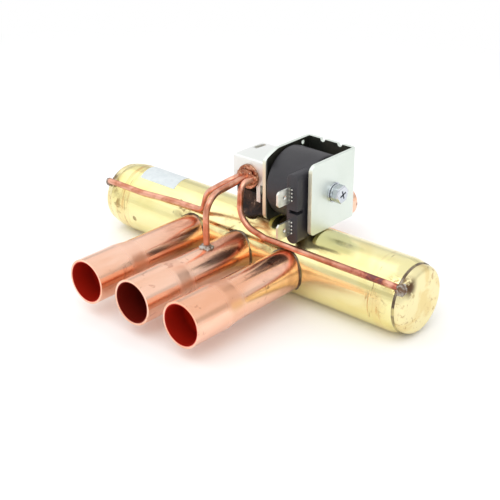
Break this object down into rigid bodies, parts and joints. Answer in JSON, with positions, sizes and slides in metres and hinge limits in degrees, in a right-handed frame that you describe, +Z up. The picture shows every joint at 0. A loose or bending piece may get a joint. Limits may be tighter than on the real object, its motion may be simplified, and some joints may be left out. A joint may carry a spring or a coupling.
{
  "type": "four way reversing valve",
  "caption": "Pilot-operated four way reversing valve: brass body with copper stubs, capillary lines, a sliding piston carriage inside and a solenoid coil with blade terminals on top.",
  "frame": {"origin": "centre of the middle (suction) stub's mouth", "axes": "+X along the body to the right end cap, +Z up through the pilot coil, -Y out of the three stub mouths"},
  "size_m": [0.161, 0.1292, 0.0587],
  "materials": {
    "body_brass": "drawn, brazed and heat tinted",
    "cap_brass": "turned",
    "seat_brass": "machined",
    "copper_tube": "drawn copper, annealed by brazing",
    "capillary_copper": "drawn copper",
    "braze_silver": "silver braze, rough",
    "slide_nylon": "filled nylon",
    "ptfe": "PTFE",
    "sheet_steel": "stamped steel",
    "black_steel": "blackened by brazing",
    "zinc_sheet": "zinc plated, bright",
    "stainless": "drawn stainless",
    "soft_iron": "turned magnetic iron",
    "coil_black": "moulded thermoset",
    "bobbin_nylon": "moulded nylon",
    "winding_copper": "enamelled copper wire",
    "tinned_brass": "tin plated",
    "zinc_screw": "zinc plated"
  },
  "bodies": {
    "valve": {"body_tube": "body_brass", "end_cap_left": "cap_brass", "end_cap_right": "cap_brass", "cap_braze_left": "braze_silver", "cap_braze_right": "braze_silver", "valve_seat": "seat_brass", "stub_evaporator": "copper_tube", "stub_suction": "copper_tube", "stub_condenser": "copper_tube", "stub_discharge": "copper_tube", "braze_evaporator": "braze_silver", "braze_suction": "braze_silver", "braze_condenser": "braze_silver", "braze_discharge": "braze_silver", "pilot_body": "seat_brass", "pilot_seat": "seat_brass", "plunger_spring": "stainless", "plunger_tube": "stainless", "fixed_core": "soft_iron", "pilot_foot": "black_steel", "pilot_guard": "zinc_sheet", "coil_yoke": "zinc_sheet", "coil_moulding": "coil_black", "coil_bobbin": "bobbin_nylon", "coil_winding": "winding_copper", "terminal_upper": "tinned_brass", "terminal_lower": "tinned_brass", "coil_screw": "zinc_screw", "spring_washer": "zinc_screw", "capillary_left": "capillary_copper", "capillary_right": "capillary_copper", "capillary_suction": "capillary_copper", "capillary_discharge": "capillary_copper", "braze_capillary_suction": "braze_silver", "braze_capillary_discharge": "braze_silver", "braze_capillary_left": "braze_silver", "braze_capillary_right": "braze_silver", "braze_pilot_ports": "braze_silver"},
    "piston_carriage": {"connecting_bar": "sheet_steel", "slide_block": "slide_nylon", "piston_left": "cap_brass", "piston_right": "cap_brass", "piston_cup_left": "ptfe", "piston_cup_right": "ptfe", "cup_retainer_left": "sheet_steel", "cup_retainer_right": "sheet_steel", "piston_screws": "sheet_steel"},
    "pilot_plunger": {"plunger": "soft_iron", "slide_carrier": "sheet_steel", "pilot_slide": "slide_nylon", "slide_spring": "stainless"}
  },
  "joints": [
    {"name": "main_slide", "type": "slide", "parent": "valve", "child": "piston_carriage", "axis": [1, 0, 0], "range_m": [0, 0.0255]},
    {"name": "pilot_slide", "type": "slide", "parent": "valve", "child": "pilot_plunger", "axis": [1, 0, 0], "range_m": [0, 0.003], "stiffness_N_per_m": 220, "springref_m": -0.003, "deforming": ["plunger_spring"]}
  ]
}
